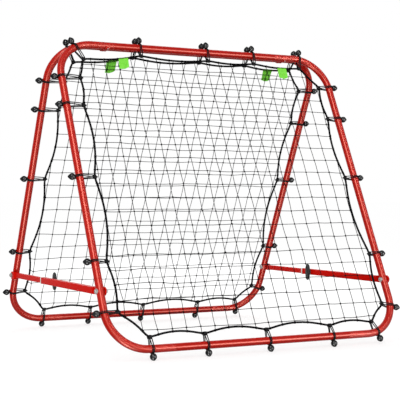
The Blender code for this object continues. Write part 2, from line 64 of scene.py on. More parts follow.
# Driving dimensions of the part
FRAME_WIDTH = 0.938
FRAME_LENGTH = 0.955
SPLAY = radians(25.7)
TUBE_RADIUS = 0.011
TUBE_WALL = 0.0012
TUBE_SEGMENTS = 40
CORNER_RADIUS = 0.112
TOP_SPACING = 0.028
GAP = 0.0003
SEAM_U = 0.283
SPIGOT_RADIUS = 0.0090
SPIGOT_LENGTH = 0.025
SEAM_CHAMFER = 0.0003
BALL_RADIUS = 0.0098
BALL_OFFSET = 0.022
BALL_TIP = 0.011
BOTTOM_Z = (BALL_OFFSET + BALL_TIP) * cos(SPLAY)
TOP_Z = BOTTOM_Z + FRAME_LENGTH * cos(SPLAY)
SIDES = {"front": -1, "rear": 1}
HANDS = {"left": -1, "right": 1}
SIDE_X = {hand: sign * FRAME_WIDTH / 2 for hand, sign in HANDS.items()}

# Ball ties: where each one sits on its tube, and how far in it holds the border rope
TIES = {
    "top": ((-0.413, 0.044), (-0.200, 0.028), (0.032, 0.030), (0.199, 0.030), (0.376, 0.036)),
    "bottom": ((-0.351, 0.033), (-0.184, 0.033), (0.014, 0.033), (0.229, 0.033), (0.389, 0.033)),
    "left": ((0.118, 0.058), (0.211, 0.052), (0.443, 0.045), (0.700, 0.034), (0.848, 0.039)),
    "right": ((0.106, 0.039), (0.224, 0.038), (0.438, 0.035), (0.700, 0.025), (0.872, 0.029)),
}
TOP_TIE_STAGGER = 0.0025
STRAND_RADIUS = 0.0015
STRAND_SEGMENTS = 8
CORD_CLEARANCE = 0.0001
# Half the distance between the two strands of a loop, at the tube and at the rope, on each face
STRAND_SPREAD = {"inner": (0.0016, 0.0018), "outer": (0.0022, 0.0034)}
TIE_TURNS = 4
LASHING_WIDTH = 0.0105
# How far the knotted end of a tie stands inwards from the middle of the rope
KNOT_REACH = {"side": 0.0100, "level": 0.0068}
# How much longer the knot over the ball is
BALL_KNOT_EXTRA = {"side": 0.0016, "level": 0.0}

# Border rope and net
ROPE_RADIUS = 0.0030
ROPE_HOLD = 0.010
# How far the rope bows inwards between two ties, as a share of the way between them
ROPE_BOW = {"top": 0.045, "bottom": 0.080, "left": 0.072, "right": 0.072}
ROPE_STEP = 0.0016
ROPE_SIDES = 16
BRAID_DEPTH = 0.00016
BRAID_PITCH = 0.0064
STRING_RADIUS = 0.0010
MESH_PITCH = 0.0437
FIRST_STRING = (-0.4107, 0.0706)
SHORTEST_STRING = 0.03
STRING_BELLY = 0.0008
WRAP_TURNS = 2.2
WRAP_WIDTH = 0.0042
KNOT_SCALE = 0.00072
KNOT_CLEARANCE = 0.008
# How far the strings waver, and where and how much more they do in the slack corner
WAVER = 0.0022
SLACK_CORNER = (-0.42, 0.88)
SLACK_RADIUS = 0.25
SLACK_GAIN = 2.2

# Fabric tabs sewn under the top ropes
TAB_WIDTH = 0.033
TAB_POINT = 0.005
TAB_THICKNESS = 0.0012
TAB_SEAT = ROPE_RADIUS * 0.72
TAB_STANDOFF = 0.0026
TAB_COLUMNS = 20
TAB_ROWS = 26
WEAVE_TILE = 0.04
STITCHES = 7
STITCH_RADIUS = 0.0004
# Middle along X, lean along X, and reach below the rope
TABS = {
    "front": ((-0.2605, -0.004, 0.035), (0.3020, -0.002, 0.037)),
    "rear": ((-0.2680, 0.000, 0.036), (0.2900, 0.001, 0.036)),
}

# Hinges
HINGE_U = {"left": -0.3055, "right": 0.321}
HINGE_WIDTH = 0.017
HINGE_DROP = 0.0052
SADDLE_THICKNESS = 0.002
SADDLE_NOSE = 0.0050
SADDLE_ANGLES = (radians(-68), radians(70))
KNUCKLE_RADIUS = 0.0035
KNUCKLE_SHARE = 0.45
KNUCKLE_CLEARANCE = 0.0009
PIN_RADIUS = 0.0017
SCREW_ANGLE = radians(45)
SCREW_BASE = TUBE_RADIUS + GAP + SADDLE_THICKNESS
SADDLE_MIDDLE = TUBE_RADIUS + GAP + SADDLE_THICKNESS / 2

# Braces
BRACE_V = 0.786
OUTER_BAR = 0.019
INNER_BAR = 0.016
BAR_WALL = 0.0012
BAR_CORNER = 0.0024
BORE_CORNER = 0.0014
BAR_CHAMFER = 0.0005
MOUTH_Y = 0.090
COLLAR_LENGTH = 0.005
COLLAR_STEP = 0.0008
INNER_BAR_END_Y = -0.080
TONGUE_THICKNESS = 0.003
TONGUE_HEIGHT = 0.024
TONGUE_REACH = 0.011
TONGUE_CORNER = 0.0007
CRANK_START = 0.036
CRANK_END = 0.020
BORE_END = 0.044
KNOB_Y = 0.040
KNOB_LENGTH = 0.054
KNOB_THICKNESS = 0.008
KNOB_HUB_RADIUS = 0.0075
KNOB_RIBS = 10
KNOB_STANDOFF = 0.002
# Half thickness and half width of the wings, and how much they swell at the hub
WING_HALVES = (0.0047, 0.0088)
HUB_SWELL = (0.0003, 0.0006)
HUB_REACH = 0.0100
PIN_Z = TOP_Z - HINGE_DROP
PIVOT_Y = TOP_SPACING / 2 + BRACE_V * sin(SPLAY)
PIVOT_Z = TOP_Z - BRACE_V * cos(SPLAY)
# Which side of its tube each brace end passes, +1 towards +X
TONGUE_SIDES = {("front", "left"): 1, ("rear", "left"): -1, ("front", "right"): 1, ("rear", "right"): 1}


# Places on a frame

def place(side, u, v, w=0.0):
    """World point of a frame's own coordinates: along X, down its slope, and outwards."""
    sign = SIDES[side]
    y = sign * (TOP_SPACING / 2 + v * sin(SPLAY) + w * cos(SPLAY))
    z = TOP_Z - v * cos(SPLAY) + w * sin(SPLAY)
    return Vector((u, y, z))


def outward(side):
    return place(side, 0, 0, 1) - place(side, 0, 0)


def heading(side, u, v):
    """Unit vector in a frame's plane, from its parts along X and down the slope."""
    return (place(side, u, v) - place(side, 0, 0)).normalized()


def off_tube(side, centre, normal, inward, out=0.0):
    """World point at a distance into the frame from a tube's centre, and out of the frame's plane."""
    return place(side, centre[0] + normal[0] * inward, centre[1] + normal[1] * inward, out)


def tube_station(edge, along):
    """Centre of the tube at a distance along an edge, and the direction into the frame there."""
    level = edge in ("top", "bottom")
    straight = (FRAME_WIDTH / 2 - CORNER_RADIUS, FRAME_LENGTH / 2 - CORNER_RADIUS)
    length, breadth = straight if level else reversed(straight)
    offset = along if level else along - FRAME_LENGTH / 2
    end = copysign(1.0, offset)
    sign = -1 if edge in ("top", "left") else 1
    turn = asin(max(0.0, abs(offset) - length) / CORNER_RADIUS)
    normal = (-end * sin(turn), -sign * cos(turn))
    corner = (end * min(abs(offset), length), sign * breadth)
    if not level:
        normal = normal[::-1]
        corner = corner[::-1]
    u, v = (middle - part * CORNER_RADIUS for middle, part in zip(corner, normal))
    return (u, v + FRAME_LENGTH / 2), normal


def tie_stations(side):
    """Edge, number, tube centre, inward direction and reach of every tie on a frame."""
    found = []
    for edge, rows in TIES.items():
        for number, (along, reach) in enumerate(rows, start=1):
            if edge == "top":
                along = along - SIDES[side] * TOP_TIE_STAGGER
            centre, normal = tube_station(edge, along)
            found.append((edge, number, centre, normal, reach))
    return found


# Building pieces

def new_object(name, data):
    """An object for a mesh, a lamp or a camera, in the scene."""
    obj = bpy.data.objects.new(name, data)
    bpy.context.scene.collection.objects.link(obj)
    return obj


class Shape:
    """The faces of one piece, gathered part by part."""

    def __init__(self):
        self.verts = []
        self.faces = []
        self.inks = []

    def add(self, verts, faces, ink=0):
        base = len(self.verts)
        self.verts.extend(verts)
        self.faces.extend(tuple(base + i for i in face) for face in faces)
        self.inks.extend([ink] * len(faces))

    def skin(self, rings, closed=False, ink=0):
        """Skin a row of rings. An open row is capped at both ends, and a closed one joins up."""
        count = len(rings[0])
        verts = [point for ring in rings for point in ring]
        faces = []
        for i in range(len(rings) if closed else len(rings) - 1):
            here = i * count
            there = (i + 1) % len(rings) * count
            for j in range(count):
                k = (j + 1) % count
                faces.append((here + j, here + k, there + k, there + j))
        if not closed:
            faces.append(tuple(reversed(range(count))))
            faces.append(tuple(range(len(verts) - count, len(verts))))
        self.add(verts, faces, ink)

    def sweep(self, path, section, up, closed=False):
        self.skin(rings_along(path, section, up, closed), closed)

    def turned(self, profile, start, direction, segments, ink=0):
        """Turn a profile of radius and height about an axis. A radius may be a function of the angle."""
        axis = Vector(direction).normalized()
        side = axis.orthogonal().normalized()
        other = axis.cross(side)
        rings = []
        for radius, height in profile:
            middle = start + axis * height
            rings.append([middle + side * a + other * b for a, b in circle(radius, segments)])
        self.skin(rings, ink=ink)

    def piece(self, name, materials, body, smooth=30):
        mesh = bpy.data.meshes.new(name)
        mesh.from_pydata(self.verts, [], self.faces)
        mesh.polygons.foreach_set("material_index", self.inks)
        bm = bmesh.new()
        bm.from_mesh(mesh)
        bmesh.ops.recalc_face_normals(bm, faces=bm.faces)
        bm.to_mesh(mesh)
        bm.free()
        mesh.shade_smooth()
        mesh.set_sharp_from_angle(angle=radians(smooth))
        obj = new_object(name, mesh)
        for material in materials:
            mesh.materials.append(material)
        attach(obj, body)
        return obj

    def stand_in(self, node, materials, body, smooth=30):
        """A piece that takes the place of a node of the part."""
        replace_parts(self.piece(f"{node}_look", materials, body, smooth), node)


def rings_along(path, section, up, closed=False, scales=None):
    """A section drawn at every point of a path, square to it. A section may depend on the point."""
    rings = []
    last = len(path) - 1
    for i, point in enumerate(path):
        before = path[i - 1] if i or closed else path[0]
        after = path[(i + 1) % len(path)] if i < last or closed else path[last]
        tangent = (after - before).normalized()
        side = tangent.cross(up).normalized()
        top = side.cross(tangent)
        scale = scales[i] if scales else 1.0
        outline = section(i) if callable(section) else section
        rings.append([point + side * (a * scale) + top * (b * scale) for a, b in outline])
    return rings


def coil(centre, axis, start, other, radius, turns, width, steps):
    """A coil along an axis about a point. It starts in one direction and turns towards another."""
    path = []
    for step in range(steps + 1):
        share = step / steps
        angle = 2 * pi * turns * share
        spoke = start * cos(angle) + other * sin(angle)
        path.append(centre + axis * (share - 0.5) * width + spoke * radius)
    return path


def circle(radius, sides):
    """Outline about a point. The radius may be a function of the angle."""
    points = []
    for i in range(sides):
        angle = 2 * pi * i / sides
        reach = radius(angle) if callable(radius) else radius
        points.append((reach * cos(angle), reach * sin(angle)))
    return points


def arc(centre, radius, first, sweep, steps):
    """Points on an arc about a place on the first axis."""
    turns = [first + sweep * step / steps for step in range(steps + 1)]
    return [(centre + radius * cos(turn), radius * sin(turn)) for turn in turns]


def blend(a, b, t):
    return a + (b - a) * t


def rounded_box(half_a, half_b, corner, steps=5):
    """Outline of a rectangle with round corners."""
    points = []
    for quarter, (sa, sb) in enumerate(((1, 1), (-1, 1), (-1, -1), (1, -1))):
        for step in range(steps + 1):
            turn = pi / 2 * (quarter + step / steps)
            points.append((sa * (half_a - corner) + corner * cos(turn),
                           sb * (half_b - corner) + corner * sin(turn)))
    return points


def smoothstep(t):
    t = min(1.0, max(0.0, t))
    return t * t * (3 - 2 * t)


# Materials

def set_sockets(node, values):
    """Set inputs of a node by their names, with underscores for spaces."""
    for socket, value in values.items():
        node.inputs[socket.replace("_", " ")].default_value = value


def new_node(tree, kind, **values):
    node = tree.nodes.new(f"ShaderNode{kind}")
    set_sockets(node, values)
    return node


def link(output, node, socket):
    node.id_data.links.new(output, node.inputs[socket])


class Finish:
    """A Principled material. Constants are set on the sockets of its shader."""

    def __init__(self, name, color, roughness, metallic=0.0, **constants):
        self.material = bpy.data.materials.new(name)
        self.material.use_nodes = True
        self.tree = self.material.node_tree
        self.shader = self.tree.nodes["Principled BSDF"]
        set_sockets(self.shader, {"Base Color": (*color, 1.0), "Roughness": roughness, "Metallic": metallic})
        set_sockets(self.shader, constants)

    def noise(self, scale, detail=3.0, stretch=(1, 1, 1)):
        coordinates = new_node(self.tree, "TexCoord")
        mapping = new_node(self.tree, "Mapping", Scale=stretch)
        texture = new_node(self.tree, "TexNoise", Scale=scale, Detail=detail)
        link(coordinates.outputs["Object"], mapping, "Vector")
        link(mapping.outputs["Vector"], texture, "Vector")
        return texture.outputs["Fac"]

    def vary_color(self, scale, first, second):
        factor = self.noise(scale)
        ramp = new_node(self.tree, "ValToRGB")
        for element, position, color in zip(ramp.color_ramp.elements, (0.35, 0.65), (first, second)):
            element.position = position
            element.color = (*color, 1.0)
        link(factor, ramp, "Fac")
        link(ramp.outputs["Color"], self.shader, "Base Color")

    def vary_roughness(self, scale, low, high):
        factor = self.noise(scale)
        spread = new_node(self.tree, "MapRange", To_Min=low, To_Max=high)
        link(factor, spread, "Value")
        link(spread.outputs["Result"], self.shader, "Roughness")

    def bump(self, height, strength, distance):
        bump = new_node(self.tree, "Bump", Strength=strength, Distance=distance)
        link(height, bump, "Height")
        link(bump.outputs["Normal"], self.shader, "Normal")


def grained(name, color, roughness, tones, grain, rough=None, metallic=0.0, **constants):
    """A finish that is clouded between two tones, uneven in its roughness, and has a fine grain.

    The tones are a scale and two colors, the roughness a scale and its two ends, and the grain a scale,
    a strength and a distance, with the detail and the stretch of the noise after them.
    """
    finish = Finish(name, color, roughness, metallic, **constants)
    finish.vary_color(*tones)
    if rough:
        finish.vary_roughness(*rough)
    scale, strength, distance, *pattern = grain
    finish.bump(finish.noise(scale, *pattern), strength, distance)
    return finish.material


def black_cord(name, shades, roughness, scale, grain, rough=None):
    """Rope, twine or the woven sleeve of the shock cord: black, dull and slightly uneven."""
    usual, *ends = ((shade, shade, shade + 0.001) for shade in shades)
    return grained(name, usual, roughness, (scale, *ends), grain, rough, Specular_IOR_Level=0.02)


def red_paint(name, red, gloss):
    """Powder coat with a fine orange peel."""
    return grained(name, (red, 0.005, 0.002), 0.36,
                   tones=(9.0, (red - 0.02, 0.004, 0.001), (red + 0.01, 0.006, 0.002)),
                   rough=(40.0, 0.34, 0.38), grain=(420.0, 0.05, 0.0003, 2.0),
                   Specular_IOR_Level=gloss, Specular_Tint=(1.0, 0.36, 0.28, 1.0))


def green_fabric():
    """Bright plain-woven nylon. The threads run along the tab's own UV directions."""
    cloth = Finish("green_fabric", (0.22, 0.80, 0.07), 0.75, Sheen_Weight=0.1, Sheen_Roughness=0.5,
                   Specular_IOR_Level=0.02)
    cloth.vary_color(130.0, (0.22, 0.80, 0.06), (0.28, 0.94, 0.10))
    coordinates = new_node(cloth.tree, "TexCoord")
    weave = new_node(cloth.tree, "Math")
    weave.operation = "MULTIPLY"
    for socket, direction in enumerate(("X", "Y")):
        wave = new_node(cloth.tree, "TexWave", Scale=22.0)
        wave.bands_direction = direction
        link(coordinates.outputs["UV"], wave, "Vector")
        link(wave.outputs["Fac"], weave, socket)
    cloth.bump(weave.outputs["Value"], 0.3, 0.0003)
    return cloth.material


RED = red_paint("red_powder_coat", red=0.48, gloss=0.15)
SATIN_RED = red_paint("red_satin_coat", red=0.64, gloss=0.03)
# Zinc plate, slightly cloudy, with a fine brushed grain
ZINC = grained("zinc_steel", (0.42, 0.42, 0.41), 0.4, metallic=1.0,
               tones=(160.0, (0.34, 0.33, 0.31), (0.50, 0.50, 0.49)),
               rough=(700.0, 0.34, 0.48), grain=(1500.0, 0.15, 0.0001, 2.0, (8, 1, 1)))
ROPE = black_cord("black_rope", (0.006, 0.003, 0.010), 0.75, 900.0, (2600.0, 0.5, 0.0002, 2.0),
                  rough=(300.0, 0.60, 0.82))
STRING = black_cord("black_net", (0.008, 0.004, 0.013), 0.75, 700.0, (3000.0, 0.5, 0.0001, 2.0))
ELASTIC = black_cord("black_elastic", (0.006, 0.003, 0.010), 0.7, 1200.0, (3200.0, 0.5, 0.0001, 2.0))
# Moulded black nylon with a soft gloss
BALL = grained("black_ball", (0.009, 0.010, 0.011), 0.3, Specular_IOR_Level=0.05,
               tones=(260.0, (0.006, 0.007, 0.008), (0.013, 0.014, 0.015)),
               rough=(500.0, 0.24, 0.42), grain=(1800.0, 0.12, 0.0001, 2.0))
# Dark grey moulded plastic with a spark-eroded grain
KNOB = grained("grey_knob", (0.04, 0.046, 0.046), 0.5, Specular_IOR_Level=0.15,
               tones=(320.0, (0.032, 0.038, 0.038), (0.050, 0.056, 0.056)),
               rough=(600.0, 0.42, 0.56), grain=(2600.0, 0.35, 0.0002))
# Pale nylon
COLLAR = grained("pale_collar", (0.78, 0.77, 0.72), 0.45,
                 tones=(150.0, (0.70, 0.69, 0.63), (0.82, 0.81, 0.77)),
                 grain=(1500.0, 0.15, 0.0001))
GREEN = green_fabric()


# Frame tubes

def side_tube_path(side, hand):
    """Centre line of a bent side tube, from its top seam to its bottom seam."""
    sign = HANDS[hand]
    corner_u = FRAME_WIDTH / 2 - CORNER_RADIUS
    edge = SEAM_U + GAP / 2
    ends = (edge, edge + SEAM_CHAMFER)
    points = [place(side, sign * u, 0.0) for u in ends]
    for corner_v, first in ((CORNER_RADIUS, -90), (FRAME_LENGTH - CORNER_RADIUS, 0)):
        corner = arc(corner_u, CORNER_RADIUS, radians(first), pi / 2, 22)
        points += [place(side, sign * u, corner_v + v) for u, v in corner]
    return points + [place(side, sign * u, FRAME_LENGTH) for u in reversed(ends)]


def make_side_tube(side, hand):
    path = side_tube_path(side, hand)
    up = outward(side)
    scales = [1.0] * len(path)
    scales[0] = scales[-1] = 1 - SEAM_CHAMFER / TUBE_RADIUS
    shape = Shape()
    outer = rings_along(path, circle(TUBE_RADIUS, TUBE_SEGMENTS), up, scales=scales)
    inner = rings_along(path, circle(SPIGOT_RADIUS + GAP, TUBE_SEGMENTS), up)
    shape.skin(outer + inner[::-1], closed=True)
    shape.stand_in(f"{side}_{hand}_side_tube", [RED], f"{side}_frame")


def make_middle_tube(side, level):
    v = 0.0 if level == "top" else FRAME_LENGTH
    shoulder = SEAM_U - GAP / 2
    tip = SEAM_U + SPIGOT_LENGTH
    half = [(SPIGOT_RADIUS - TUBE_WALL, tip), (SPIGOT_RADIUS, tip - 0.0005),
            (SPIGOT_RADIUS, shoulder + 0.0001), (TUBE_RADIUS - SEAM_CHAMFER, shoulder),
            (TUBE_RADIUS, shoulder - SEAM_CHAMFER)]
    profile = [(radius, -height) for radius, height in half] + half[::-1]
    shape = Shape()
    shape.turned(profile, place(side, 0.0, v), (1, 0, 0), TUBE_SEGMENTS)
    shape.stand_in(f"{side}_{level}_tube", [RED], f"{side}_frame")


# Fasteners

def raised(profile, base):
    return [(radius, base + height) for radius, height in profile]


def hexagon(reach):
    """Radius of a hexagon at an angle, from its reach at the corners."""
    return lambda angle: reach * cos(pi / 6) / cos((angle % (pi / 3)) - pi / 6)


def cross(reach, width):
    """Radius of a cross recess at an angle."""
    def radius(angle):
        a, b = max(abs(cos(angle)), 1e-6), max(abs(sin(angle)), 1e-6)
        return max(min(reach / a, width / b), min(reach / b, width / a))
    return radius


def make_brace_bolt(side, hand):
    """Bolt that a brace turns on: saddle and socket head on one side, washer and nut on the other."""
    centre = Vector((SIDE_X[hand], SIDES[side] * PIVOT_Y, PIVOT_Z))
    out = Vector((TONGUE_SIDES[side, hand], 0, 0))
    shape = Shape()
    saddle = [(0.0072, 0.0080), (0.0075, 0.0085), (0.0075, 0.0116), (0.0070, 0.0122)]
    shape.turned(saddle, centre, -out, 40)
    dome = [(0.0060, 0.0120), (0.0062, 0.0126), (0.0061, 0.0136), (0.0056, 0.0147), (0.0046, 0.0154),
            (0.0032, 0.0158), (hexagon(0.0022), 0.0158), (hexagon(0.0021), 0.0138)]
    shape.turned(dome, centre, -out, 48)
    tongue = TUBE_RADIUS + GAP + TONGUE_THICKNESS
    washer = [(0.0086, 0.0001), (0.0090, 0.0004), (0.0090, 0.0010), (0.0086, 0.0013)]
    shape.turned(raised(washer, tongue), centre, out, 40)
    nut = [(0.0056, 0.0), (hexagon(0.0065), 0.0006), (hexagon(0.0065), 0.0038), (0.0056, 0.0044),
           (0.0034, 0.0044)]
    shape.turned(raised(nut, tongue + 0.0012), centre, out, 48)
    shape.turned([(0.0030, 0.0), (0.0030, tongue + 0.0066), (0.0024, tongue + 0.0072)], centre, out, 32)
    shape.piece(f"{side}_{hand}_brace_bolt", [ZINC], f"{side}_frame")


# Hinges

def strap_rings(tube_centre, sign, low, high, first, last, steps, rounded=False):
    """Rings of a strap round the underside of a tube. A rounded one is drawn in at its last end."""
    centre = tube_centre + Vector(((low + high) / 2, 0, 0))
    rings = []
    for i in range(steps + 1):
        angle = blend(first, last, i / steps)
        out = Vector((0, sign * sin(angle), -cos(angle)))
        to_end = (last - angle) * SADDLE_MIDDLE
        nose = sqrt(max(0.0, 1 - max(0.0, 1 - to_end / SADDLE_NOSE) ** 2)) if rounded else 1.0
        width = (high - low) / 2 * (0.35 + 0.65 * nose)
        outline = rounded_box(width, SADDLE_THICKNESS / 2, 0.0006, 3)
        rings.append([centre + Vector((a, 0, 0)) + out * (SADDLE_MIDDLE + b) for a, b in outline])
    return rings


def hinge_screw(side, hand):
    """Middle of the top tube over a hinge, and the direction of the screw from there."""
    sign = SIDES[side]
    tube_centre = Vector((HINGE_U[hand], sign * TOP_SPACING / 2, TOP_Z))
    return tube_centre, Vector((0, sign * sin(SCREW_ANGLE), -cos(SCREW_ANGLE)))


def make_hinge_leaf(side, hand):
    """Strap under the top tube, its knuckles and its screw's painted head."""
    sign = SIDES[side]
    tube_centre, direction = hinge_screw(side, hand)
    half = HINGE_WIDTH / 2
    shared = half * KNUCKLE_SHARE
    own = {"front": ((-half, -shared - GAP), (shared + GAP, half)), "rear": ((-shared, shared),)}[side]
    cut_angle = -asin((TOP_SPACING / 2 - KNUCKLE_RADIUS - KNUCKLE_CLEARANCE) / SADDLE_MIDDLE)
    shape = Shape()
    shape.skin(strap_rings(tube_centre, sign, -half, half, cut_angle, SADDLE_ANGLES[1], 34, rounded=True))
    bore = PIN_RADIUS + 0.0002
    chamfer = 0.0004
    for low, high in own:
        shape.skin(strap_rings(tube_centre, sign, low, high, SADDLE_ANGLES[0], cut_angle + 0.06, 8))
        knuckle = [(bore, low), (KNUCKLE_RADIUS - chamfer, low), (KNUCKLE_RADIUS, low + chamfer),
                   (KNUCKLE_RADIUS, high - chamfer), (KNUCKLE_RADIUS - chamfer, high), (bore, high)]
        shape.turned(knuckle, Vector((HINGE_U[hand], 0, PIN_Z)), (1, 0, 0), 32)
    head = [(0.0034, -0.0004), (0.0038, 0.0003), (0.0037, 0.0011), (0.0030, 0.0016)]
    shape.turned(raised(head, SCREW_BASE), tube_centre, direction, 48)
    shape.stand_in(f"{side}_{hand}_hinge_leaf", [RED], f"{side}_frame", smooth=40)


def make_hinge_glint_and_pin(side, hand):
    """Painted glint: a bright zinc disc with a cross recess in the middle of the red screw head; on the
    front frame also the pin.
    """
    shape = Shape()
    # Painted glint: this zinc disc in the middle of the red screw head stands for a glint on that head
    glint_disc = [(0.0023, 0.0014), (0.0022, 0.0019), (0.0017, 0.0023), (cross(0.0012, 0.0004), 0.0023),
                (cross(0.0010, 0.0003), 0.0015)]
    shape.turned(raised(glint_disc, SCREW_BASE), *hinge_screw(side, hand), 48)
    if side == "front":
        half = HINGE_WIDTH / 2
        end = half + 0.0011
        pin = [(0.0014, -end), (0.0025, -end + 0.0001), (0.0027, -end + 0.0006), (0.0027, -half - 0.0001),
               (PIN_RADIUS, -half + 0.0001)]
        profile = pin + [(radius, -height) for radius, height in reversed(pin)]
        shape.turned(profile, Vector((HINGE_U[hand], 0, PIN_Z)), (1, 0, 0), 32)
    shape.piece(f"{side}_{hand}_hinge_zinc", [ZINC], f"{side}_frame")


# Braces

def bar_ring(y, centre_x, half_x, half_z, corner):
    return [Vector((centre_x + a, y, PIVOT_Z + b)) for a, b in rounded_box(half_x, half_z, corner)]


def bar_rings(side, hand, size, open_y):
    """A square tube that flattens and steps past its frame tube to a round-ended tongue."""
    sign = SIDES[side]
    x = SIDE_X[hand]
    pivot_y = sign * PIVOT_Y
    half = size / 2
    rings = [bar_ring(open_y, x, half - 0.0004, half - 0.0004, BAR_CORNER),
             bar_ring(open_y + sign * BAR_CHAMFER, x, half, half, BAR_CORNER)]
    thin = TONGUE_THICKNESS / 2
    high = TONGUE_HEIGHT / 2
    tongue_x = x + TONGUE_SIDES[side, hand] * (TUBE_RADIUS + GAP + thin)
    crank_steps = 14
    for i in range(crank_steps + 1):
        t = smoothstep(i / crank_steps)
        y = pivot_y - sign * blend(CRANK_START, CRANK_END, i / crank_steps)
        rings.append(bar_ring(y, blend(x, tongue_x, t), blend(half, thin, t), blend(half, high, t),
                              blend(BAR_CORNER, TONGUE_CORNER, t)))
    end_steps = 12
    for i in range(end_steps):
        turn = pi / 2 * i / end_steps
        y = pivot_y + sign * TONGUE_REACH * sin(turn)
        rings.append(bar_ring(y, tongue_x, thin, high * cos(turn) ** 0.8, TONGUE_CORNER))
    return rings


def make_bar(hand, kind, side, size, open_y):
    """One bar of a brace: its outside and its bore, joined at the open end."""
    bore = size / 2 - BAR_WALL
    bore_end = SIDES[side] * (PIVOT_Y - BORE_END)
    rows = ((bore_end, bore), (open_y + SIDES[side] * BAR_CHAMFER, bore), (open_y, bore + 0.0003))
    inside = [bar_ring(y, SIDE_X[hand], half, half, BORE_CORNER) for y, half in rows]
    shape = Shape()
    shape.skin(inside + bar_rings(side, hand, size, open_y))
    node = f"{hand}_brace_{kind}_bar"
    shape.stand_in(node, [SATIN_RED], f"{hand}_{kind}_bar")


def make_collar(hand):
    """Square cap on the mouth of the outer bar, with a lip round the inner bar."""
    shape = Shape()
    snug = OUTER_BAR / 2 + 0.0001
    wide = OUTER_BAR / 2 + COLLAR_STEP
    bore = INNER_BAR / 2 + 0.0002
    back_y = MOUTH_Y - COLLAR_LENGTH
    seat_y = MOUTH_Y + 0.0001
    lip_y = MOUTH_Y + 0.0012
    rows = [(back_y, snug, 0.0024), (back_y, wide - 0.0003, 0.0028), (back_y + 0.0006, wide, 0.0030),
            (lip_y - 0.0005, wide, 0.0030), (lip_y, wide - 0.0004, 0.0028), (lip_y, bore, 0.0018),
            (seat_y, bore, 0.0018), (seat_y, snug, 0.0024)]
    shape.skin([bar_ring(y, SIDE_X[hand], half, half, corner) for y, half, corner in rows], closed=True)
    shape.piece(f"{hand}_brace_collar", [COLLAR], f"{hand}_outer_bar")


def squared(value):
    """A sine or cosine pushed towards its limits, which turns an oval into a box with round corners."""
    return copysign(abs(value) ** 0.45, value)


def wing_rings(face, inward):
    """Rings of a knob's two wings, from end to end, with round ends and a swell at the hub."""
    half_x, half_y = WING_HALVES
    swell_x, swell_y = HUB_SWELL
    steps = 36
    sides = 24
    rings = []
    for i in range(steps + 1):
        reach = sin(pi / 2 * (2 * i / steps - 1))
        up = reach * KNOB_LENGTH / 2
        fullness = max(0.25, (1 - abs(reach) ** 5) ** 0.5)
        hub = exp(-(up / HUB_REACH) ** 2)
        middle = face + inward * (KNOB_STANDOFF + half_x + swell_x) + Vector((0, 0, up))
        ring = []
        for j in range(sides):
            angle = 2 * pi * j / sides
            a = squared(cos(angle)) * (half_x + swell_x * hub) * fullness
            b = squared(sin(angle)) * (half_y + swell_y * hub) * fullness
            ring.append(middle + inward * a + Vector((0, b, 0)))
        rings.append(ring)
    return rings


def make_knob(hand):
    """Winged clamping knob: two broad wings and a ribbed hub, on a washer and a screw."""
    inward = Vector((-HANDS[hand], 0, 0))
    face = Vector((SIDE_X[hand], KNOB_Y, PIVOT_Z)) + inward * (OUTER_BAR / 2 + GAP)
    shape = Shape()
    shape.skin(wing_rings(face, inward))
    wide = KNOB_HUB_RADIUS
    top = KNOB_STANDOFF + KNOB_THICKNESS
    hub_profile = [(wide - 0.0008, 0.0012), (wide, 0.0018), (wide - 0.0003, top - 0.0022),
                   (wide - 0.0010, top - 0.0012), (wide - 0.0020, top - 0.0008),
                   (0.0048, top - 0.0008), (0.0045, top - 0.0014), (0.0012, top - 0.0016)]
    shape.turned(hub_profile, face, inward, 40)
    rib = [(0.0003, 0.0020), (0.0007, 0.0026), (0.0006, top - 0.0030), (0.0002, top - 0.0022)]
    for number in range(KNOB_RIBS):
        angle = 2 * pi * number / KNOB_RIBS
        out = Vector((0, cos(angle), sin(angle))) * (wide - 0.0003)
        shape.turned(rib, face + out, inward, 8)
    shape.stand_in(f"{hand}_brace_knob", [KNOB], f"{hand}_knob", smooth=40)
    metal = Shape()
    washer = [(0.0078, 0.0001), (0.0082, 0.0003), (0.0082, 0.0009), (0.0078, 0.0011)]
    metal.turned(washer, face, inward, 36)
    screw = [(0.0026, -BAR_WALL - 0.0012), (0.0029, -BAR_WALL - 0.0006), (0.0029, 0.0030)]
    metal.turned(screw, face, inward, 24)
    metal.piece(f"{hand}_brace_knob_screw", [ZINC], f"{hand}_knob")


# Ties

def between(start, end, steps):
    """Points on a straight line, without its ends."""
    shares = [step / steps for step in range(1, steps)]
    return [tuple(blend(a, b, share) for a, b in zip(start, end)) for share in shares]


def belt(reach):
    """Path of a cord round the tube and the rope: distances into the frame and out of its plane."""
    tube_radius = TUBE_RADIUS + STRAND_RADIUS + CORD_CLEARANCE
    rope_radius = ROPE_RADIUS + STRAND_RADIUS + CORD_CLEARANCE
    lean = acos((tube_radius - rope_radius) / reach)
    round_tube = arc(0.0, tube_radius, lean, 2 * (pi - lean), 22)
    round_rope = arc(reach, rope_radius, -lean, 2 * lean, 10)
    there = between(round_tube[-1], round_rope[0], 6)
    back = between(round_rope[-1], round_tube[0], 6)
    return round_tube + there + round_rope + back


def add_loops(shape, side, centre, normal, reach, slack):
    """Two strands side by side, farther apart on the frame's outer face than on its inner face."""
    along = heading(side, normal[1], -normal[0])
    for strand in (-1, 1):
        path = []
        for inward, out in belt(reach):
            share = smoothstep(inward / reach)
            inner, outer = (blend(*STRAND_SPREAD[face], share) for face in ("inner", "outer"))
            spread = blend(inner, outer, smoothstep(0.5 + out / (2 * TUBE_RADIUS)))
            middle = sin(pi * min(1.0, max(0.0, inward / reach)))
            shift = strand * spread + slack * middle * (1 + 0.4 * strand)
            path.append(off_tube(side, centre, normal, inward, out) + along * shift)
        shape.sweep(path, circle(STRAND_RADIUS, STRAND_SEGMENTS), along, closed=True)


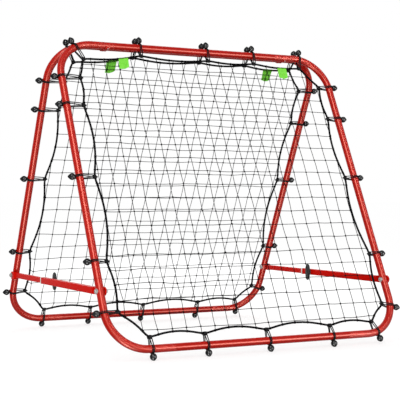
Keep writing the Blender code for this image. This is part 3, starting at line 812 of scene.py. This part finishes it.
def add_lashing(shape, side, centre, normal, reach, knot_reach):
    """Turns of the cord round the rope, and the knotted end that stands inwards from them."""
    along = heading(side, normal[1], -normal[0])
    inward = heading(side, *normal)
    held = off_tube(side, centre, normal, reach)
    radius = ROPE_RADIUS + STRAND_RADIUS * 0.9
    path = coil(held, along, inward, outward(side), radius, TIE_TURNS, LASHING_WIDTH, 12 * TIE_TURNS)
    shape.sweep(path, circle(STRAND_RADIUS, STRAND_SEGMENTS), along)
    shape.turned([(0.0016, 0.0020), (0.0027, 0.0038), (0.0024, 0.0050), (0.0027, knot_reach - 0.0020),
                  (0.0022, knot_reach - 0.0008), (0.0010, knot_reach)], held, inward, 12)


def add_ball(shape, side, edge, number, extra, uneven):
    """Ball on the outer side of the tube, with the cord's neck under it and its knot over it."""
    turn = SPLAY if edge == "top" else 0.0
    centre, normal = tube_station(edge, TIES[edge][number - 1][0])
    tube_middle = place(side, *centre)
    middle = off_tube(side, centre, normal, -BALL_OFFSET * cos(turn), BALL_OFFSET * sin(turn))
    direction = (middle - tube_middle).normalized()
    neck = [(0.0020, TUBE_RADIUS + 0.0006), (0.0026, TUBE_RADIUS + 0.0014), (0.0024, 0.0160)]
    shape.turned(neck, tube_middle, direction, 16)
    knot_profile = [(0.0012, 0.0100), (0.0018, 0.0106 + extra), (0.0012, BALL_TIP + extra + uneven)]
    shape.turned(knot_profile, middle, direction, 14)
    ball = []
    steps = 20
    opening = radians(16)
    shoulder = radians(42)
    for i in range(steps + 1):
        angle = opening + (pi - opening - shoulder) * i / steps
        groove = 0.00022 * exp(-((angle - pi / 2) / 0.05) ** 2)
        ball.append(((BALL_RADIUS - groove) * sin(angle), -BALL_RADIUS * cos(angle)))
    mouth = (BALL_RADIUS * sin(opening) - 0.0005, BALL_RADIUS * cos(opening))
    ball = [(mouth[0] - 0.0005, 0.0015 - mouth[1]), (mouth[0], -mouth[1])] + ball
    ball += [(0.0044, 0.0094 + extra * 0.6), (0.0026, 0.0105 + extra), (0.0016, 0.0106 + extra)]
    shape.turned(ball, middle, direction, 28, ink=1)


def make_tie(side, edge, number, centre, normal, reach):
    """Elastic loop, doubled, round the tube and the border rope, with its ball and its knotted ends."""
    kind = "side" if edge in HANDS else "level"
    rng = random.Random(f"{side}_{edge}_{number}")
    shape = Shape()
    add_loops(shape, side, centre, normal, reach, rng.uniform(-0.0006, 0.0006))
    add_lashing(shape, side, centre, normal, reach, KNOT_REACH[kind] + rng.uniform(-0.0008, 0.0008))
    uneven = rng.uniform(-0.0002, 0.0010) * (edge != "bottom")
    add_ball(shape, side, edge, number, BALL_KNOT_EXTRA[kind], uneven)
    node = f"{side}_{edge}_tie_{number}"
    shape.stand_in(node, [ELASTIC, BALL], f"{side}_frame", smooth=50)


# Border rope and net

def rope_hold(station):
    """Where a tie holds the rope, and a short step along the rope there, parallel to the tube."""
    edge, number, centre, normal, reach = station
    held = Vector((centre[0] + normal[0] * reach, centre[1] + normal[1] * reach))
    return held, Vector((normal[1], -normal[0])) * ROPE_HOLD / 2


def rope_line(side):
    """The border rope in the frame's plane: through every tie, bowed towards the net between them."""
    order = {"top": 1, "right": 1, "bottom": -1, "left": -1}
    stations = tie_stations(side)
    ring = []
    for edge, direction in order.items():
        ring += [station for station in stations if station[0] == edge][::direction]
    coarse = []
    for here, there in zip(ring, ring[1:] + ring[:1]):
        held, step_out = rope_hold(here)
        next_held, step_in = rope_hold(there)
        start = held + step_out
        span = next_held - step_in - start
        inward = Vector((-span.y, span.x)).normalized()
        bow = span.length * min(ROPE_BOW[here[0]], ROPE_BOW[there[0]])
        coarse.append(held)
        steps = 12
        for step in range(steps + 1):
            t = step / steps
            coarse.append(start + span * t + inward * bow * 4 * t * (1 - t))
    return evenly(smoothed(coarse, 3), ROPE_STEP)


def smoothed(points, rounds):
    for _ in range(rounds):
        count = len(points)
        points = [(points[i - 1] + points[i] * 2 + points[(i + 1) % count]) / 4 for i in range(count)]
    return points


def evenly(points, step):
    """Points at even distances along a closed line."""
    spans = [(b - a).length for a, b in zip(points, points[1:] + points[:1])]
    count = round(sum(spans) / step)
    pitch = sum(spans) / count
    even = []
    travelled = 0.0
    index = 0
    for i in range(count):
        target = i * pitch
        while travelled + spans[index] < target:
            travelled += spans[index]
            index += 1
        t = (target - travelled) / spans[index]
        even.append(points[index].lerp(points[(index + 1) % len(points)], t))
    return even


def braid(i):
    """Section of the rope at a ring: strands that cross make a lattice of low lozenges."""
    travel = 2 * pi * i * ROPE_STEP / BRAID_PITCH

    def radius(angle):
        return ROPE_RADIUS + BRAID_DEPTH * cos(4 * angle + travel) * cos(4 * angle - travel)
    return circle(radius, ROPE_SIDES)


def crossings(line, axis, value):
    """Places along the other axis where a closed line crosses a value, paired from one side."""
    found = []
    for a, b in zip(line, line[1:] + line[:1]):
        if (a[axis] - value) * (b[axis] - value) < 0:
            t = (value - a[axis]) / (b[axis] - a[axis])
            found.append(blend(a[1 - axis], b[1 - axis], t))
    found.sort()
    return list(zip(found[::2], found[1::2]))


def slackness(u, v):
    """How loose the net is at a place: looser towards the lower left corner."""
    corner = hypot(u - SLACK_CORNER[0], v - SLACK_CORNER[1])
    return 1.0 + SLACK_GAIN * smoothstep(1 - corner / SLACK_RADIUS)


def net_point(side, u, v, hold=1.0):
    """Where a knot of the net really lies: strings waver and knots don't line up exactly."""
    seed = Vector((u * 9 + SIDES[side] * 5, v * 9, 0.0))
    drift = noise.noise_vector(seed) * 1.2 + noise.noise_vector(seed * 4) * 0.8
    amount = WAVER * slackness(u, v) * hold
    return place(side, u + drift.x * amount, v + drift.y * amount, drift.z * amount * 1.5)


def string_path(side, axis, value, low, high):
    """One string from rope to rope, with the knots that it passes."""
    def point_at(stop):
        uv = (value, stop) if axis == 0 else (stop, value)
        return net_point(side, *uv, hold=0.0 if stop in (low, high) else 1.0)

    first = FIRST_STRING[1 - axis]
    along = first + ceil((low - first) / MESH_PITCH) * MESH_PITCH
    knots = []
    while along < high:
        if min(along - low, high - along) > KNOT_CLEARANCE:
            knots.append(along)
        along += MESH_PITCH
    stops = [low] + knots + [high]
    rng = random.Random(f"{side}_{axis}_{value:.3f}")
    points = []
    steps = 4
    for here, there in zip(stops, stops[1:]):
        belly = Vector((rng.uniform(-1, 1), 0, rng.uniform(-1, 0.6))) * STRING_BELLY
        start, end = point_at(here), point_at(there)
        for step in range(steps):
            t = step / steps
            points.append(start.lerp(end, t) + belly * 4 * t * (1 - t))
    return points + [point_at(high)], knots


def wrap(shape, centre, tangent, up):
    """A string's end wound round the rope."""
    side = tangent.cross(up).normalized()
    radius = ROPE_RADIUS + STRING_RADIUS * 0.3
    path = coil(centre, tangent, up, side, radius, WRAP_TURNS, WRAP_WIDTH, 29)
    shape.sweep(path, circle(STRING_RADIUS * 0.6, 5), tangent)


def knot(shape, centre, across, down, out, rng):
    """A small tight knot where two strings cross."""
    spin = Matrix.Rotation(rng.uniform(0, 2 * pi), 3, out)
    turn = spin @ Matrix.Rotation(rng.uniform(-0.4, 0.4), 3, across)
    path = []
    steps = 18
    for step in range(steps):
        t = 2 * pi * step / steps
        x, y, z = sin(t) + 2 * sin(2 * t), cos(t) - 2 * cos(2 * t), -sin(3 * t)
        path.append(centre + turn @ ((across * x + down * y + out * z * 1.2) * KNOT_SCALE))
    shape.sweep(path, circle(STRING_RADIUS, 5), out, closed=True)


def make_net(side):
    line = rope_line(side)
    up = outward(side)
    across = Vector((1, 0, 0))
    down = heading(side, 0, 1)
    shape = Shape()
    path = [place(side, point.x, point.y) for point in line]
    shape.skin(rings_along(path, braid, up, closed=True), closed=True, ink=1)
    rng = random.Random(side)
    # Every sixth point of the rope is enough to find where strings meet it
    outline = line[::6]
    for axis in (0, 1):
        places = [point[axis] for point in outline]
        value = FIRST_STRING[axis]
        while value < max(places):
            spans = crossings(outline, axis, value) if value > min(places) else []
            for low, high in spans:
                if high - low < SHORTEST_STRING:
                    continue
                points, knots = string_path(side, axis, value, low, high)
                shape.sweep(points, circle(STRING_RADIUS, 6), up)
                if axis == 0:
                    for along in knots:
                        knot(shape, net_point(side, value, along), across, down, up, rng)
                for end in (points[0], points[-1]):
                    nearest = min(range(len(path)), key=lambda i: (path[i] - end).length_squared)
                    tangent = (path[(nearest + 1) % len(path)] - path[nearest - 1]).normalized()
                    wrap(shape, path[nearest], tangent, up)
            value += MESH_PITCH
    shape.stand_in(f"{side}_net", [STRING, ROPE], f"{side}_frame", smooth=60)


# Fabric tabs

def rope_height(rope, u):
    """Where the middle of the top rope lies down the slope, at a place along X."""
    return min(first for first, _ in crossings(rope, 0, u))


def tab_out(down, sway):
    """How far a tab's middle line stands out of the net's plane, at a distance below its top edge."""
    return TAB_STANDOFF + 0.0006 * smoothstep(down / 0.006) + sway * smoothstep(down / 0.030)


def leaf_faces():
    """Faces of a tab's two skins of points, one behind the other, and of the edge that joins them."""
    last = TAB_COLUMNS * TAB_ROWS
    count = last + TAB_ROWS
    faces = []
    for column in range(TAB_COLUMNS):
        for row in range(TAB_ROWS - 1):
            a = column * TAB_ROWS + row
            b = a + TAB_ROWS
            faces.append((a, a + 1, b + 1, b))
            faces.append((count + a, count + b, count + b + 1, count + a + 1))
    border = [*range(TAB_ROWS), *range(2 * TAB_ROWS - 1, count, TAB_ROWS),
              *range(count - 2, last - 1, -1), *range(last - TAB_ROWS, 0, -TAB_ROWS)]
    for a, b in zip(border, border[1:] + border[:1]):
        faces.append((a, b, count + b, count + a))
    return faces


def make_tab(side, number, u, lean, reach):
    """A double-sewn leaf of fabric whipped to the underside of the rope, outside the net."""
    rope = rope_line(side)
    skins = ([], [])
    for column in range(TAB_COLUMNS + 1):
        share = 2 * column / TAB_COLUMNS - 1
        here = u + share * TAB_WIDTH / 2
        top = rope_height(rope, here) + TAB_SEAT
        seed = Vector((u * 20 + share * 1.3, SIDES[side] * 3.0, number))
        leaf = reach + TAB_POINT * (0.5 - abs(share + 0.1)) + 0.0008 * noise.noise(seed * 3)
        sway = 0.0016 * noise.noise(seed) + 0.0010 * cos(share * 4.2 + number)
        hem = 1.0 - 0.45 * smoothstep((abs(share) - 0.90) / 0.08)
        for row in range(TAB_ROWS):
            down = leaf * row / (TAB_ROWS - 1)
            slip = lean * down / reach + 0.0005 * noise.noise(seed + Vector((0, down * 90, 0)))
            puff = 1.0 - 0.45 * smoothstep((down / leaf - 0.92) / 0.07)
            for skin, sign in zip(skins, (1, -1)):
                out = tab_out(down, sway) + sign * TAB_THICKNESS / 2 * hem * puff
                skin.append(place(side, here + slip, top + down, out))
    shape = Shape()
    shape.add(skins[0] + skins[1], leaf_faces())
    tab = shape.piece(f"{side}_tab_{number}", [GREEN], f"{side}_frame", smooth=60)
    layer = tab.data.uv_layers.new(name="weave")
    for loop in tab.data.loops:
        column, row = divmod(loop.vertex_index % len(skins[0]), TAB_ROWS)
        across = column / TAB_COLUMNS * TAB_WIDTH
        layer.data[loop.index].uv = (across / WEAVE_TILE, row / TAB_ROWS * reach / WEAVE_TILE)
    stitches = make_stitches(side, number, u, rope)


def make_stitches(side, number, u, rope):
    """Thread whipped round the rope and through the top of a tab."""
    shape = Shape()
    across = Vector((1, 0, 0))
    radius = ROPE_RADIUS + 0.0005
    steps = 20
    for stitch in range(STITCHES):
        here = u + TAB_WIDTH * (0.42 - 0.84 * stitch / (STITCHES - 1))
        rope_v = rope_height(rope, here)
        path = []
        for step in range(steps):
            angle = 2 * pi * step / steps
            low = max(0.0, cos(angle)) * 0.0022
            down = radius * cos(angle) + low
            out = radius * sin(angle) + low * 0.6
            path.append(place(side, here + 0.0009 * sin(angle / 2), rope_v + down, out))
        shape.sweep(path, circle(STITCH_RADIUS, 5), across, closed=True)
    return shape.piece(f"{side}_tab_{number}_stitches", [GREEN], f"{side}_frame", smooth=60)


# Assembly

for side in SIDES:
    for hand in HANDS:
        make_side_tube(side, hand)
        make_brace_bolt(side, hand)
        make_hinge_leaf(side, hand)
        make_hinge_glint_and_pin(side, hand)
    for level in ("top", "bottom"):
        make_middle_tube(side, level)
    for station in tie_stations(side):
        make_tie(side, *station)
    make_net(side)
    for number, tab in enumerate(TABS[side], start=1):
        make_tab(side, number, *tab)

for hand in HANDS:
    make_bar(hand, "outer", "front", OUTER_BAR, MOUTH_Y)
    make_collar(hand)
    make_bar(hand, "inner", "rear", INNER_BAR, INNER_BAR_END_Y)
    make_knob(hand)


# Stage, light and camera

def background_switch(tree):
    """1 for rays that see the background itself: camera, glossy and transmission rays."""
    path = new_node(tree, "LightPath")
    largest = path.outputs["Is Camera Ray"]
    for ray in ("Is Glossy Ray", "Is Transmission Ray"):
        step = new_node(tree, "Math")
        step.operation = "MAXIMUM"
        link(largest, step, 0)
        link(path.outputs[ray], step, 1)
        largest = step.outputs["Value"]
    return largest


def mix_output(tree, kind, unseen, seen):
    """Show one shader to the rays that see the background, and another to the rest."""
    mix = new_node(tree, "MixShader")
    output = new_node(tree, kind)
    link(background_switch(tree), mix, "Fac")
    link(unseen.outputs[0], mix, 1)
    link(seen.outputs[0], mix, 2)
    link(mix.outputs[0], output, "Surface")


def make_world(diffuse_level):
    world = bpy.data.worlds.new("studio")
    bpy.context.scene.world = world
    world.use_nodes = True
    tree = world.node_tree
    tree.nodes.clear()
    seen = new_node(tree, "Background", Color=(1, 1, 1, 1))
    lit = new_node(tree, "Background", Color=(diffuse_level, diffuse_level, diffuse_level, 1))
    mix_output(tree, "OutputWorld", lit, seen)


def make_floor(size, own_light, shade):
    """White floor that keeps a faint shadow: most of what the camera sees is its own light."""
    mesh = bpy.data.meshes.new("floor")
    half = size / 2
    corners = [(-half, -half, 0), (half, -half, 0), (half, half, 0), (-half, half, 0)]
    mesh.from_pydata(corners, [], [(0, 1, 2, 3)])
    floor = new_object("floor", mesh)
    material = bpy.data.materials.new("white_floor")
    material.use_nodes = True
    tree = material.node_tree
    tree.nodes.clear()
    diffuse = new_node(tree, "BsdfDiffuse", Color=(shade, shade, shade, 1))
    glow = new_node(tree, "Emission", Strength=own_light)
    both = new_node(tree, "AddShader")
    link(diffuse.outputs[0], both, 0)
    link(glow.outputs[0], both, 1)
    mix_output(tree, "OutputMaterial", diffuse, both)
    mesh.materials.append(material)
    floor.visible_glossy = False
    floor.visible_shadow = False


def make_softbox(name, azimuth, elevation, size, radiance, receivers=None):
    """A lamp that faces the middle of the object. Azimuth 0 is at -Y, positive towards -X.

    Where it is given a collection of receivers, it only shows in the gloss of those pieces.
    """
    distance = 4.2
    middle = Vector((0, 0, 0.45))
    turn, rise = radians(azimuth), radians(elevation)
    away = Vector((-sin(turn) * cos(rise), -cos(turn) * cos(rise), sin(rise)))
    light = bpy.data.lights.new(name, "AREA")
    light.shape = "RECTANGLE"
    light.size, light.size_y = size
    light.energy = radiance * pi * size[0] * size[1]
    lamp = new_object(name, light)
    lamp.location = middle + away * distance
    lamp.rotation_euler = away.to_track_quat("Z", "Y").to_euler()
    if receivers is not None:
        lamp.visible_diffuse = False
        lamp.light_linking.receiver_collection = receivers


def make_camera():
    data = bpy.data.cameras.new("camera")
    data.sensor_width = 36.0
    data.lens = 98.588
    data.clip_end = 400.0
    camera = new_object("camera", data)
    camera.location = (-1.5977, -3.0663, 0.4293)
    camera.rotation_euler = (radians(90 - 0.064), 0.0, radians(-27.81))
    bpy.context.scene.camera = camera


# Azimuth, elevation and radiance of the large soft lamps
SOFTBOXES = {"key": (28, 5, 2.7), "left_fill": (95, 10, 1.2), "back_fill": (208, 25, 2.0)}
SOFTBOX_SIZE = (2.4, 2.4)
# Strips that show only in the gloss of the red frames and the balls: azimuth, elevation, size and
# radiance. The first two follow the side tubes, the next two the tubes along X, and the rest the corners.
HIGHLIGHTS = (
    (38, 41, (0.6, 1.8), 310.0),
    (38, -45, (0.6, 1.8), 325.0),
    (-27.5, -1, (1.8, 0.6), 295.0),
    (4, -1, (1.8, 0.5), 100.0),
    (33, -2, (0.5, 1.8), 110.0),
    (-37, 32, (0.4, 1.8), 85.0),
    (-37, -32, (0.4, 1.8), 85.0),
)
# Those of them that show in the straight tubes too
STRAIGHT = (2, 3)

make_world(diffuse_level=0.80)
make_floor(size=240.0, own_light=0.66, shade=0.42)
for name, (azimuth, elevation, radiance) in SOFTBOXES.items():
    make_softbox(name, azimuth, elevation, SOFTBOX_SIZE, radiance)
glossy = bpy.data.collections.new("glossy_pieces")
bent = bpy.data.collections.new("bent_pieces")
for obj in bpy.context.scene.objects:
    if obj.type == "MESH" and any(material in (RED, BALL) for material in obj.data.materials):
        glossy.objects.link(obj)
        if "top_tube" not in obj.name and "bottom_tube" not in obj.name:
            bent.objects.link(obj)
for number, (azimuth, elevation, size, radiance) in enumerate(HIGHLIGHTS):
    receivers = glossy if number in STRAIGHT else bent
    make_softbox(f"highlight_{number}", azimuth, elevation, size, radiance, receivers)
make_camera()
bpy.context.scene.view_settings.view_transform = "Standard"
